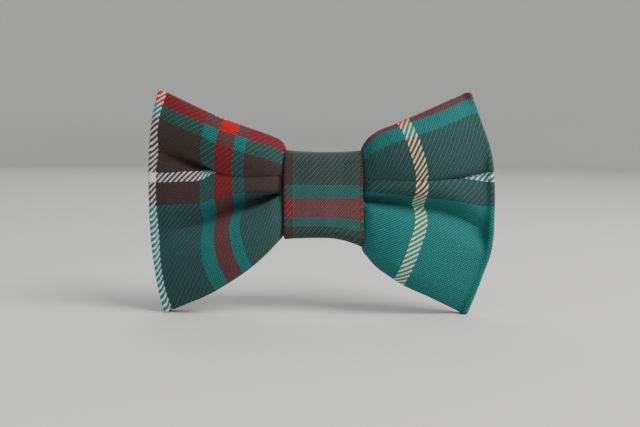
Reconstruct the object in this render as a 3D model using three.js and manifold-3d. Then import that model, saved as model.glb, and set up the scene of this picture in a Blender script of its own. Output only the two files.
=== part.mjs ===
// A clip-on bow tie, ready tied: a flat fabric tube folded into a loop, pleated and bound at its
// middle, wrapped by a centre band, and sewn to a sprung metal collar clip.
//
// Frame: millimetres. +X runs along the bow, -Y is the face that is seen when worn, +Z is up.
// The bow stands on the lower corners of its wings, with the origin under the middle of its box.

import * as THREE from 'three';
import { mergeVertices } from 'three/addons/utils/BufferGeometryUtils.js';
import Module from 'manifold-3d';

const wasm = await Module();
wasm.setup();

// ---------------------------------------------------------------- driving dimensions

const clearance = 0.3; // left between pieces that touch

// The bow: one flat tube of fabric, folded into a loop
const leftReach = 56; // knot centre to the left fold, at its fullest
const rightReach = 54.5; // knot centre to the right fold, at its fullest
const cornerInset = 5; // how far the corners of a wing stand in from its fullest width
const wingHeight = 70.5; // lower corner to upper corner
const pinchHeight = 22.4; // height of the loop where it is bound
const knotRise = 3; // how far the knot sits above the middle of the wings
const foldRadius = 3.7; // middle of the fabric, round each outer fold
const frontPuff = 5; // how far the lobes stand out in front
const backPuff = 1.2; // how far they stand out behind
const pleatDepth = 1; // half the depth of the pleats under the knot
const pleatPitch = 0.72; // one whole pleat, as a share of half the height
const endLap = 9; // how far each end of the tube passes the middle at the back
const skin = 0.35; // the tartan twill
const liningThickness = 0.5; // the stiff interlining inside the tube

// The centre band
const bandWidth = 25; // along X
const bandSkin = 0.3;
const bandLining = 0.3;
const bandEase = 0.45; // room between the binding thread and the band
const bandCorner = 2.4; // radius of the band's corners, at the middle of its thickness
const bandInnerEnd = 5; // height of the inner end above the knot centre
const bandOuterEnd = -8; // height of the outer end, lapped over the back

// Threads
const bindingThread = 0.5; // diameter of the thread that binds the pleats
const bindingTurns = 4;
const sewingThread = 0.4; // diameter of every other thread

// The collar clip
const clipWidth = 8;
const clipSheet = 0.7; // thickness of its sheet metal
const jawLength = 27; // pivot to jaw tip
const tailLength = 15; // pivot to the press tab's end
const pivotShift = 3; // pivot from the knot centre, along X
const pivotHeight = 2.5; // pivot above the gripping face
const pinRadius = 0.75;
const pinHeadRadius = 1.5;
const pinHeadLength = 0.6;
const springWire = 0.55;
const springTurns = 3;
const springLeg = 4.6;
const jawLip = 1; // height of the upturned lip at the jaw's tip
const teeth = 4;

// ---------------------------------------------------------------- sizes that follow from them

const tubeGap = liningThickness + 2 * clearance; // room for the interlining inside the tube
const tubeHalf = tubeGap / 2 + skin; // half the thickness of the pressed tube
const layerStep = 2 * tubeHalf + clearance; // from one layer to the next, under the knot
const halfHeight = wingHeight / 2;
const knotZ = halfHeight + knotRise;
const pinchX = bandWidth / 2 + clearance; // the wings open out from here
const stackHalf = layerStep + pleatDepth + tubeHalf; // half the depth of all that is bound

const bindingHalfY = stackHalf + clearance + bindingThread / 2;
const edgeTilt = 0.7 * tubeHalf; // how far the pleats tip the pressed edges up and down
const bindingHalfZ = pinchHeight / 2 + edgeTilt + clearance + bindingThread / 2;

const bandGap = bandLining + 2 * clearance;
const bandHalf = bandGap / 2 + bandSkin; // half the thickness of the pressed band
const bandY = bindingHalfY + bindingThread / 2 + bandEase + bandHalf; // middle of its thickness
const bandZ = bindingHalfZ + bindingThread / 2 + bandEase + bandHalf;
const bandLapY = bandY + 2 * bandHalf + clearance; // the outer lap, behind
const bandBackY = bandLapY + bandHalf; // the face that the clip is sewn to

// ---------------------------------------------------------------- materials

const tartan = new THREE.MeshStandardMaterial({ color: 0x1f6f7a, roughness: 0.75, metalness: 0 });
const bandTartan = new THREE.MeshStandardMaterial({ color: 0x25605f, roughness: 0.75, metalness: 0 });
const lining = new THREE.MeshStandardMaterial({ color: 0xd9d4c8, roughness: 0.95, metalness: 0 });
const thread = new THREE.MeshStandardMaterial({ color: 0x1b2426, roughness: 0.6, metalness: 0 });
const nickel = new THREE.MeshStandardMaterial({ color: 0xc9cbcc, roughness: 0.28, metalness: 1 });
const springSteel = new THREE.MeshStandardMaterial({ color: 0x9a9da0, roughness: 0.35, metalness: 1 });

// ---------------------------------------------------------------- helpers

const mix = (a, b, t) => a + (b - a) * t;
const clamp01 = (t) => Math.min(1, Math.max(0, t));

// The geometry with shared corners merged, which is what a boolean needs.
function weld(geometry) {
  const plain = geometry.clone();
  plain.deleteAttribute('normal');
  plain.deleteAttribute('uv');
  return mergeVertices(plain, 1e-5);
}

function toManifold(geometry) {
  const welded = weld(geometry);
  return new wasm.Manifold(new wasm.Mesh({
    numProp: 3,
    vertProperties: new Float32Array(welded.attributes.position.array),
    triVerts: new Uint32Array(welded.index.array),
  }));
}

function fromManifold(solid) {
  const mesh = solid.getMesh();
  const geometry = new THREE.BufferGeometry();
  geometry.setAttribute('position', new THREE.BufferAttribute(mesh.vertProperties, 3));
  geometry.setIndex(new THREE.BufferAttribute(mesh.triVerts, 1));
  geometry.computeVertexNormals();
  return geometry;
}

function join(...geometries) {
  return fromManifold(geometries.map(toManifold).reduce((all, next) => all.add(next)));
}

function cut(geometry, ...tools) {
  return fromManifold(tools.map(toManifold).reduce((left, next) => left.subtract(next), toManifold(geometry)));
}

function box(x0, x1, y0, y1, z0, z1) {
  const geometry = new THREE.BoxGeometry(x1 - x0, y1 - y0, z1 - z0);
  return geometry.translate((x0 + x1) / 2, (y0 + y1) / 2, (z0 + z1) / 2);
}

// An outline in X and Y, extruded from z0 to z1.
function plate(shape, z0, z1) {
  const geometry = new THREE.ExtrudeGeometry(shape, {
    depth: z1 - z0, bevelEnabled: false, curveSegments: 6,
  });
  return geometry.translate(0, 0, z0);
}

// A round bar along Z, through (x, y).
function bar(x, y, radius, z0, z1, sides = 20) {
  const geometry = new THREE.CylinderGeometry(radius, radius, z1 - z0, sides);
  return geometry.rotateX(Math.PI / 2).translate(x, y, (z0 + z1) / 2);
}

// A round thread or wire along a smooth curve through the points.
function strand(points, diameter, stepsPerPoint = 1, sides = 6) {
  const section = new THREE.Shape();
  for (let i = 0; i < sides; i += 1) {
    const angle = (2 * Math.PI * i) / sides;
    const x = (diameter / 2) * Math.cos(angle);
    const y = (diameter / 2) * Math.sin(angle);
    if (i === 0) section.moveTo(x, y);
    else section.lineTo(x, y);
  }
  const path = new THREE.CatmullRomCurve3(points, false, 'centripetal');
  return weld(new THREE.ExtrudeGeometry(section, {
    steps: (points.length - 1) * stepsPerPoint, extrudePath: path, bevelEnabled: false,
  }));
}

// A slab that follows a surface: a box whose length follows t, whose width follows q from low to
// high, and whose thickness runs from -half to +half along the surface's outward normal.
function slab(surface, stations, low, high, half, acrossSteps) {
  const alongSteps = stations.length - 1;
  const geometry = weld(new THREE.BoxGeometry(1, 1, 1, alongSteps, acrossSteps, 1));
  const position = geometry.attributes.position;
  const delta = 1e-3;
  for (let i = 0; i < position.count; i += 1) {
    const t = stations[Math.round((position.getX(i) + 0.5) * alongSteps)];
    const q = mix(low, high, position.getY(i) + 0.5);
    const along = surface(t + delta, q).sub(surface(t - delta, q));
    const across = surface(t, q + delta).sub(surface(t, q - delta));
    const normal = along.cross(across).normalize();
    const point = surface(t, q).addScaledVector(normal, 2 * half * position.getZ(i));
    position.setXYZ(i, point.x, point.y, point.z);
  }
  geometry.computeVertexNormals();
  return geometry;
}

// A pressed tube that is open at both ends, and the lining that fills it.
function linedTube({ surface, stations, overrun, edge, edgeMm, half, wall, acrossSteps }) {
  const inset = wall / edgeMm;
  const first = stations[0] - overrun;
  const last = stations[stations.length - 1] + overrun;
  const hollow = [first, ...stations.slice(1, -1), last];
  const outer = slab(surface, stations, -edge, edge, half, acrossSteps);
  const inner = slab(surface, hollow, -edge + inset, edge - inset, half - wall, acrossSteps);
  const liningInset = inset + clearance / edgeMm;
  const fill = slab(surface, stations, -edge + liningInset, edge - liningInset,
    half - wall - clearance, acrossSteps);
  return { tube: cut(outer, inner), fill };
}

function part(name, geometry, material) {
  const mesh = new THREE.Mesh(geometry, material);
  mesh.name = name;
  return mesh;
}

// ---------------------------------------------------------------- the bow's surface

// Runs of the loop, one per whole number of t: the inner end and its back layer out to the left
// fold, round the fold, the front, round the right fold, and the outer end's back layer.
const BACK_INNER = 0;
const LEFT_FOLD = 1;
const FRONT = 2;
const RIGHT_FOLD = 3;
const BACK_OUTER = 4;

function foldStart(side, q) {
  const reach = side < 0 ? leftReach : rightReach;
  return reach - tubeHalf - cornerInset * Math.abs(q) ** 2.2 - foldRadius;
}

// Share of the way from the knot's edge to the fold.
function openness(x, q) {
  const side = Math.sign(x);
  return clamp01((Math.abs(x) - pinchX) / (foldStart(side, q) - pinchX));
}

const spreadStart = 0.02;
function spread(s) {
  const power = (value) => value ** 0.68;
  return (power(s + spreadStart) - power(spreadStart)) / (power(1 + spreadStart) - power(spreadStart));
}

function heightAt(s, q) {
  const half = mix(pinchHeight / 2, halfHeight, spread(s));
  return mix(knotZ, halfHeight, s) + half * q;
}

const pleat = (q) => -Math.cos((2 * Math.PI * q) / pleatPitch);
const lobe = (q) => 1 - ((Math.abs(q) - 0.62) / 0.62) ** 2;
const bulge = (s) => Math.sin(Math.PI * s ** 0.75);

function layer(x, q, knotY, foldY, puff, fade) {
  const s = openness(x, q);
  const y = mix(knotY, foldY, s) + pleatDepth * pleat(q) * (1 - s) ** fade + puff * bulge(s) * lobe(q);
  return new THREE.Vector3(x, y, heightAt(s, q));
}

function fold(side, q, angle) {
  const x = side * (foldStart(side, q) + foldRadius * Math.sin(angle));
  return new THREE.Vector3(x, -side * foldRadius * Math.cos(angle), heightAt(1, q));
}

// A back layer's first third lies under the band, and the rest of it opens out to the fold.
const underBand = 1 / 3;
function backX(side, q, at) {
  if (at < underBand) return side * mix(-endLap, pinchX, at / underBand);
  return side * mix(pinchX, foldStart(side, q), (at - underBand) / (1 - underBand));
}

// The front lies under the band for the middle tenth of its run.
const frontBandEdge = 0.45;
function frontX(q, at) {
  const side = at < 0.5 ? -1 : 1;
  const fromFold = Math.min(at, 1 - at);
  if (fromFold < frontBandEdge) return side * mix(foldStart(side, q), pinchX, fromFold / frontBandEdge);
  return side * mix(pinchX, 0, (fromFold - frontBandEdge) / (0.5 - frontBandEdge));
}

function bowSurface(t, q) {
  const run = Math.min(BACK_OUTER, Math.max(BACK_INNER, Math.floor(t)));
  const at = t - run;
  if (run === BACK_INNER) return layer(backX(-1, q, at), q, 0, foldRadius, backPuff, 3);
  if (run === LEFT_FOLD) return fold(-1, q, Math.PI * at);
  if (run === FRONT) return layer(frontX(q, at), q, -layerStep, -foldRadius, -frontPuff, 1.5);
  if (run === RIGHT_FOLD) return fold(1, q, Math.PI * at);
  return layer(backX(1, q, 1 - at), q, layerStep, foldRadius, backPuff, 3);
}

// Where the slabs are divided along the loop: closer together where the wings leave the band.
function bowStations() {
  const wing = [0, 0.05, 0.13, 0.25, 0.42, 0.62, 0.82]; // from the band's edge to the fold
  const back = [0, underBand / 2, ...wing.map((share) => mix(underBand, 1, share))];
  const frontHalf = wing.map((share) => frontBandEdge * (1 - share)).reverse();
  const turn = [0, 0.25, 0.5, 0.75];
  return [
    back.map((at) => BACK_INNER + at),
    turn.map((at) => LEFT_FOLD + at),
    [0, ...frontHalf, 0.5, ...frontHalf.map((at) => 1 - at).reverse()].map((at) => FRONT + at),
    turn.map((at) => RIGHT_FOLD + at),
    [0, ...back.map((at) => 1 - at).reverse()].map((at) => BACK_OUTER + at),
  ].flat();
}

function makeBow() {
  const { tube, fill } = linedTube({
    surface: bowSurface,
    stations: bowStations(),
    overrun: 0.02,
    edge: 1,
    edgeMm: pinchHeight / 2,
    half: tubeHalf,
    wall: skin,
    acrossSteps: 16,
  });
  return [part('bow_loop', tube, tartan), part('bow_interlining', fill, lining)];
}

// ---------------------------------------------------------------- threads under the band

function roundedLoop(halfY, halfZ, radius, count) {
  const path = new THREE.Path();
  path.moveTo(0, -halfZ);
  path.absarc(halfY - radius, -halfZ + radius, radius, -Math.PI / 2, 0, false);
  path.absarc(halfY - radius, halfZ - radius, radius, 0, Math.PI / 2, false);
  path.absarc(-halfY + radius, halfZ - radius, radius, Math.PI / 2, Math.PI, false);
  path.absarc(-halfY + radius, -halfZ + radius, radius, Math.PI, 1.5 * Math.PI, false);
  path.lineTo(0, -halfZ);
  return path.getSpacedPoints(count);
}

function makeGatherThread() {
  const perTurn = 24;
  const loop = roundedLoop(bindingHalfY, bindingHalfZ, 1, perTurn);
  const pitch = bindingThread + clearance;
  const points = [];
  for (let i = 0; i <= bindingTurns * perTurn; i += 1) {
    const x = (i / perTurn - bindingTurns / 2) * pitch;
    const { x: y, y: z } = loop[i % perTurn];
    points.push(new THREE.Vector3(x, y, knotZ + z));
  }
  return part('gather_thread', strand(points, bindingThread, 1, 5), thread);
}

// Overcasting along the raw end of the tube, on the outer layer at the back.
function makeEndStitch() {
  const stitches = 12;
  const edgeX = -endLap + 1.4;
  const lift = layerStep + 1.25 * tubeHalf + clearance + sewingThread / 2;
  const points = [];
  for (let i = 0; i <= stitches; i += 1) {
    const q = mix(-0.86, 0.86, i / stitches);
    const x = edgeX + (i % 2 === 0 ? 0.6 : -0.6);
    points.push(new THREE.Vector3(x, lift + pleatDepth * pleat(q), knotZ + (pinchHeight / 2) * q));
  }
  return part('loop_end_stitch', strand(points, sewingThread, 1, 5), thread);
}

// ---------------------------------------------------------------- the centre band

// The band's line in Y and Z about the knot centre, from its inner end at the back, down and
// round the front, to its outer end lapped over the back.
function bandPath() {
  const path = new THREE.Path();
  path.moveTo(bandY, bandInnerEnd);
  path.lineTo(bandY, -bandZ + bandCorner);
  path.absarc(bandY - bandCorner, -bandZ + bandCorner, bandCorner, 0, -Math.PI / 2, true);
  path.lineTo(-bandY + bandCorner, -bandZ);
  path.absarc(-bandY + bandCorner, -bandZ + bandCorner, bandCorner, -Math.PI / 2, -Math.PI, true);
  path.lineTo(-bandY, bandZ - bandCorner);
  path.absarc(-bandY + bandCorner, bandZ - bandCorner, bandCorner, Math.PI, Math.PI / 2, true);
  path.lineTo(bandLapY - bandCorner, bandZ);
  path.absarc(bandLapY - bandCorner, bandZ - bandCorner, bandCorner, Math.PI / 2, 0, true);
  path.lineTo(bandLapY, bandOuterEnd);
  return path;
}

function makeBand() {
  const path = bandPath();
  const steps = 48;
  const points = path.getSpacedPoints(steps);
  const line = new THREE.CatmullRomCurve3(points.map(({ x, y }) => new THREE.Vector3(0, x, knotZ + y)));
  const lengthMm = path.getLength();
  // The curve's ends carry on straight, so that the hollow can run out past them.
  const surface = (t, q) => {
    const inside = clamp01(t);
    const point = line.getPoint(inside);
    point.z += t === inside ? 0 : -(t - inside) * lengthMm;
    point.x = (-bandWidth / 2) * q;
    return point;
  };
  const { tube, fill } = linedTube({
    surface,
    stations: Array.from({ length: steps + 1 }, (_, i) => i / steps),
    overrun: 0.01,
    edge: 1,
    edgeMm: bandWidth / 2,
    half: bandHalf,
    wall: bandSkin,
    acrossSteps: 1,
  });
  return [part('centre_band', tube, bandTartan), part('band_interlining', fill, lining)];
}

// The thread that slip-stitches the band's outer end down, waving along the end's edge.
function makeBandStitch() {
  const waves = 9;
  const pointsPerWave = 6;
  const count = waves * pointsPerWave;
  const amplitude = 0.3;
  const y = bandY + bandHalf + clearance + sewingThread / 2;
  const z = knotZ + bandOuterEnd - clearance - sewingThread / 2 - amplitude;
  const halfRun = bandWidth / 2 - 1.5;
  const points = Array.from({ length: count + 1 }, (_, i) => {
    const angle = (2 * Math.PI * i) / pointsPerWave;
    return new THREE.Vector3(mix(-halfRun, halfRun, i / count), y, z + amplitude * Math.sin(angle));
  });
  return part('band_closing_stitch', strand(points, sewingThread, 1, 5), thread);
}

// ---------------------------------------------------------------- the collar clip

// Its own frame: X along the clip from the knot centre, Y away from the band, Z across the clip.
const baseFace = clearance + clipSheet; // the gripping face of the base
const pivotY = baseFace + pivotHeight;
const tipX = pivotShift - jawLength;
const tailX = pivotShift + tailLength;
const earInner = clipWidth / 2 - clipSheet; // inner face of the base's ears
const leverHalf = earInner - clearance; // half the lever's width
const pinHole = pinRadius + 0.25;
const springRadius = pinRadius + clearance + springWire / 2;
const leverOver = pivotY + springRadius + springWire / 2 + clearance; // underside, over the spring

function makeClipBase() {
  const half = clipWidth / 2;
  const sheet = box(tipX, tailX - 2, clearance, baseFace, -half, half);
  const lip = box(tipX, tipX + clipSheet, clearance, baseFace + jawLip, -half, half);
  const ear = new THREE.Shape();
  const earHalf = 3.2;
  ear.moveTo(pivotShift - earHalf, clearance + 0.1);
  ear.lineTo(pivotShift + earHalf, clearance + 0.1);
  ear.lineTo(pivotShift + 1.9, pivotY);
  ear.absarc(pivotShift, pivotY, 1.9, 0, Math.PI, false);
  const ears = [plate(ear, earInner, half), plate(ear, -half, -earInner)];
  const hole = bar(pivotShift, pivotY, pinHole, -half - 1, half + 1);
  return part('clip_base', cut(join(sheet, lip, ...ears), hole), nickel);
}

// The lever's underside, from the jaw tip over the pivot to the press tab.
function leverShape() {
  const tipInner = tipX + clipSheet + clearance;
  const lower = [
    [tipInner, baseFace + clearance],
    [tipInner + 1.4, baseFace + 2],
    [tipInner + 14, leverOver - 1],
    [pivotShift - 2, leverOver],
    [pivotShift + 3.5, leverOver + 0.3],
    [tailX, leverOver + 4],
  ];
  const shape = new THREE.Shape();
  shape.moveTo(...lower[0]);
  lower.slice(1).forEach((point) => shape.lineTo(...point));
  const upper = lower.map(([x, y]) => [x, y + clipSheet * 1.08]);
  upper[0] = [tipInner, baseFace + clearance + 2.4];
  upper.reverse().forEach((point) => shape.lineTo(...point));
  return shape;
}

function makeClipLever() {
  const sheet = plate(leverShape(), -leverHalf, leverHalf);
  const ear = new THREE.Shape();
  const earRadius = 1.8;
  ear.moveTo(pivotShift + earRadius, leverOver + 0.3);
  ear.lineTo(pivotShift - earRadius, leverOver + 0.3);
  ear.lineTo(pivotShift - earRadius, pivotY);
  ear.absarc(pivotShift, pivotY, earRadius, Math.PI, 2 * Math.PI, false);
  const earInside = leverHalf - clipSheet * 0.8;
  const ears = [plate(ear, earInside, leverHalf), plate(ear, -leverHalf, -earInside)];
  const hole = bar(pivotShift, pivotY, pinHole, -leverHalf - 1, leverHalf + 1);
  // Notches between the teeth of the jaw
  const pitch = (2 * leverHalf) / teeth;
  const notches = Array.from({ length: teeth - 1 }, (_, i) => {
    const z = -leverHalf + (i + 1) * pitch;
    return box(tipX, tipX + clipSheet + clearance + 1, baseFace, baseFace + 1.1, z - pitch / 4, z + pitch / 4);
  });
  return part('clip_lever', cut(join(sheet, ...ears), hole, ...notches), nickel);
}

function makeHingePin() {
  const head = clipWidth / 2 + 0.15;
  const end = head + pinHeadLength;
  const profile = [
    [0, -end], [pinHeadRadius * 0.8, -end], [pinHeadRadius, -head],
    [pinRadius, -head], [pinRadius, head],
    [pinHeadRadius, head], [pinHeadRadius * 0.8, end], [0, end],
  ].map(([x, y]) => new THREE.Vector2(x, y));
  const geometry = new THREE.LatheGeometry(profile, 20);
  geometry.rotateX(Math.PI / 2).translate(pivotShift, pivotY, 0);
  return part('clip_hinge_pin', weld(geometry), nickel);
}

// A torsion spring round the pin. One leg lies on the base, the other pushes up the press tab.
function makeSpring() {
  const perTurn = 12;
  const turns = springTurns + 0.45;
  const count = Math.round(turns * perTurn);
  const pitch = springWire + 0.12;
  const startAngle = -Math.PI / 2;
  const halfRun = (turns * pitch) / 2;
  const coil = Array.from({ length: count + 1 }, (_, i) => {
    const angle = startAngle - (2 * Math.PI * i) / perTurn;
    return new THREE.Vector3(
      pivotShift + springRadius * Math.cos(angle),
      pivotY + springRadius * Math.sin(angle),
      (i / count) * 2 * halfRun - halfRun,
    );
  });
  const lowLeg = new THREE.Vector3(pivotShift + springLeg, baseFace + clearance + springWire / 2, -halfRun);
  const highLeg = new THREE.Vector3(pivotShift + springLeg, leverOver - springWire / 2 - 0.1, halfRun);
  return part('clip_spring', strand([lowLeg, ...coil, highLeg], springWire), springSteel);
}

// Passes of thread over the base, down to the band on either side of it.
function makeClipStitch(name, centreX) {
  const passes = 4;
  const pitch = 0.8;
  const over = baseFace + clearance + sewingThread / 2;
  const down = clearance + sewingThread / 2;
  const side = clipWidth / 2 + clearance + sewingThread / 2 + 0.15;
  const points = [];
  for (let i = 0; i < passes; i += 1) {
    const x = centreX + (i - (passes - 1) / 2) * pitch;
    const from = i % 2 === 0 ? -1 : 1;
    [from, -from].forEach((end) => {
      const heights = end === from ? [down, over] : [over, down];
      const outs = end === from ? [side + 0.3, side - 0.1] : [side - 0.1, side + 0.3];
      heights.forEach((y, k) => points.push(new THREE.Vector3(x, y, end * outs[k])));
    });
  }
  return part(name, strand(points, sewingThread, 2, 5), thread);
}

function makeClip() {
  const clip = new THREE.Group();
  clip.position.set(0, bandBackY, knotZ);
  clip.add(
    makeClipBase(),
    makeClipLever(),
    makeHingePin(),
    makeSpring(),
    makeClipStitch('clip_stitch_left', -7),
    makeClipStitch('clip_stitch_right', 10),
  );
  return clip;
}

// ---------------------------------------------------------------- the whole bow tie

const bowTie = new THREE.Group();
bowTie.add(...makeBow(), makeGatherThread(), makeEndStitch());
bowTie.add(...makeBand(), makeBandStitch());
bowTie.add(makeClip());

// Put the origin under the middle of the whole box, at the height that the wings stand on.
bowTie.updateMatrixWorld(true);
const bounds = new THREE.Box3().setFromObject(bowTie, true);
const centre = bounds.getCenter(new THREE.Vector3());
bowTie.position.set(-centre.x, -centre.y, -bounds.min.z);

export default bowTie;
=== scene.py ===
"""Looks of a clip-on tartan bow tie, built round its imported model."""
import math

import bmesh
import bpy
import numpy as np
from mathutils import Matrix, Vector


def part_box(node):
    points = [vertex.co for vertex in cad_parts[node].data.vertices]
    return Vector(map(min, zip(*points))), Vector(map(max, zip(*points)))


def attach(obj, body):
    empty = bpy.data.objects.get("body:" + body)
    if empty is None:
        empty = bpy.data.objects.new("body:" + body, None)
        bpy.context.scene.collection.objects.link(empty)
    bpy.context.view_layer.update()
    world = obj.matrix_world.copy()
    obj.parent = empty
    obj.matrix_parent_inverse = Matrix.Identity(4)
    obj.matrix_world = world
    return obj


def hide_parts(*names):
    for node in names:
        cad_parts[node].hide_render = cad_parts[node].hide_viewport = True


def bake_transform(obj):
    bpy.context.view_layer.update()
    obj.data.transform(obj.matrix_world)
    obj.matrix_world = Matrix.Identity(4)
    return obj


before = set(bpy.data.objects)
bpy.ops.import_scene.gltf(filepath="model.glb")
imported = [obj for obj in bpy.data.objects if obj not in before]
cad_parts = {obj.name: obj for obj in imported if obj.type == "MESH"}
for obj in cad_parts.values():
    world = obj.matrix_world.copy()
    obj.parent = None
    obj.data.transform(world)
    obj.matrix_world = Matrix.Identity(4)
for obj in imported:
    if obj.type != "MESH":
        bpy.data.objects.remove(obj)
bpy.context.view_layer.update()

MM = 0.001

# ------------------------------------------------------------------ sizes, from the frame

loop_low, loop_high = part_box("bow_loop")
band_low, band_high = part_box("centre_band")
bind_low, bind_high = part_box("gather_thread")
base_low, base_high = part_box("clip_base")
pin_low, pin_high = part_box("clip_hinge_pin")
lever_low, lever_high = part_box("clip_lever")
spring_low, spring_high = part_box("clip_spring")

KNOT_X = (band_low.x + band_high.x) / 2
KNOT_Y = (bind_low.y + bind_high.y) / 2
KNOT_Z = (base_low.z + base_high.z) / 2
BAND_HALF_WIDTH = (band_high.x - band_low.x) / 2
BAND_FRONT = KNOT_Y - band_low.y
BAND_BACK = band_high.y - KNOT_Y

CLOTH_THICK = 1.3 * MM  # two layers of twill and the interlining between them
BAND_THICK = 1.2 * MM  # two layers of twill and the band's own interlining
LINING_THICK = 0.4 * MM
PINCH_X = BAND_HALF_WIDTH - 0.6 * MM  # the wings open out from here, just inside the band
FOLD_DEPTH = 1.5 * MM  # half the thickness of the bow where each outer fold begins
FOLD_SLANT = math.radians(20.0)  # the cloth slants in towards the fold on both sides
FOLD_RADIUS = FOLD_DEPTH / math.cos(FOLD_SLANT)
LAP_STEP = 2.6 * MM  # the inner end of the loop lies this far in front of the outer end
END_LAP = 9 * MM
LEFT_REACH = KNOT_X - loop_low.x
RIGHT_REACH = loop_high.x - KNOT_X
BACK_TURN = (math.pi - 2 * FOLD_SLANT) * FOLD_RADIUS  # cloth used up in going round a fold
FOLD_REACH = FOLD_RADIUS * (1 - math.sin(FOLD_SLANT))
THREAD = 0.4 * MM

# ------------------------------------------------------------------ small helpers


def mix(a, b, t):
    return a + (b - a) * t


def smooth(edge0, edge1, x):
    t = np.clip((x - edge0) / (edge1 - edge0), 0.0, 1.0)
    return t * t * (3.0 - 2.0 * t)


def through(points, x):
    """A smooth curve through (place, value) points, read at x."""
    places = np.array([point[0] for point in points], dtype=float)
    values = np.array([point[1] for point in points], dtype=float)
    slopes = np.gradient(values, places)
    x = np.clip(x, places[0], places[-1])
    i = np.clip(np.searchsorted(places, x, side="right") - 1, 0, len(places) - 2)
    width = places[i + 1] - places[i]
    t = (x - places[i]) / width
    a = (2 * t**3 - 3 * t**2 + 1) * values[i] + (t**3 - 2 * t**2 + t) * width * slopes[i]
    return a + (3 * t**2 - 2 * t**3) * values[i + 1] + (t**3 - t**2) * width * slopes[i + 1]


def deselect():
    bpy.ops.object.select_all(action="DESELECT")


def only(obj):
    """Make obj the one selected and active object."""
    deselect()
    obj.select_set(True)
    bpy.context.view_layer.objects.active = obj


# ------------------------------------------------------------------ camera and light


def aim(obj, target):
    direction = Vector(target) - obj.location
    obj.rotation_euler = direction.to_track_quat("-Z", "Y").to_euler()


def add_camera():
    data = bpy.data.cameras.new("camera")
    data.lens = 50.0
    data.clip_start = 0.01
    camera = bpy.data.objects.new("camera", data)
    bpy.context.collection.objects.link(camera)
    elevation = math.radians(5.0)
    distance = 0.283
    target = Vector((KNOT_X - 1.0 * MM, KNOT_Y - 4 * MM, 32.9 * MM))
    toward = Vector((0.0, -math.cos(elevation), math.sin(elevation)))
    camera.location = target + distance * toward
    aim(camera, target)
    camera.rotation_euler.rotate_axis("Z", math.radians(0.4))  # not held quite level
    bpy.context.scene.camera = camera


def add_area_light(name, location, target, size, watts, color):
    data = bpy.data.lights.new(name, "AREA")
    data.shape = "RECTANGLE"
    data.size, data.size_y = size
    data.energy = watts
    data.color = color
    light = bpy.data.objects.new(name, data)
    bpy.context.collection.objects.link(light)
    light.location = location
    aim(light, target)


def add_lights():
    middle = (0.0, 0.0, 0.035)
    add_area_light("window", (0.62, -0.42, 0.72), middle, (0.55, 0.55), 13.0, (1.0, 0.985, 0.96))
    add_area_light("room", (-0.8, -0.7, 0.5), middle, (0.9, 0.9), 1.6, (0.94, 0.97, 1.0))
    add_area_light("behind", (-0.1, 0.9, 0.8), middle, (0.9, 0.6), 3.0, (1.0, 0.99, 0.97))
    world = bpy.data.worlds.new("studio")
    world.use_nodes = True
    background = world.node_tree.nodes["Background"]
    background.inputs["Color"].default_value = (0.88, 0.92, 0.97, 1.0)
    background.inputs["Strength"].default_value = 0.42
    bpy.context.scene.world = world


def add_floor(material):
    """A plain pale dish: flat under the bow tie and curved up all round it."""
    flat_radius, bend, top = 1.4, 0.35, 0.62
    profile = [(0.3, 0.0), (0.8, 0.0), (flat_radius, 0.0)]
    steps = 12
    for i in range(1, steps + 1):
        angle = math.pi / 2 * i / steps
        profile.append((flat_radius + bend * math.sin(angle), bend * (1 - math.cos(angle))))
    profile.append((flat_radius + bend, top))
    around = 96
    points = [(0.0, 0.0, 0.0)]
    for radius, z in profile:
        for i in range(around):
            angle = 2 * math.pi * i / around
            points.append((radius * math.cos(angle), radius * math.sin(angle), z))
    faces = [(0, 1 + i, 1 + (i + 1) % around) for i in range(around)]
    for ring in range(len(profile) - 1):
        inner = 1 + ring * around
        outer = inner + around
        for i in range(around):
            after = (i + 1) % around
            faces.append((inner + i, outer + i, outer + after, inner + after))
    mesh = bpy.data.meshes.new("floor")
    mesh.from_pydata(points, [], faces)
    for polygon in mesh.polygons:
        polygon.use_smooth = True
    floor = bpy.data.objects.new("floor", mesh)
    bpy.context.collection.objects.link(floor)
    floor.data.materials.append(material)


# ------------------------------------------------------------------ materials


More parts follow.
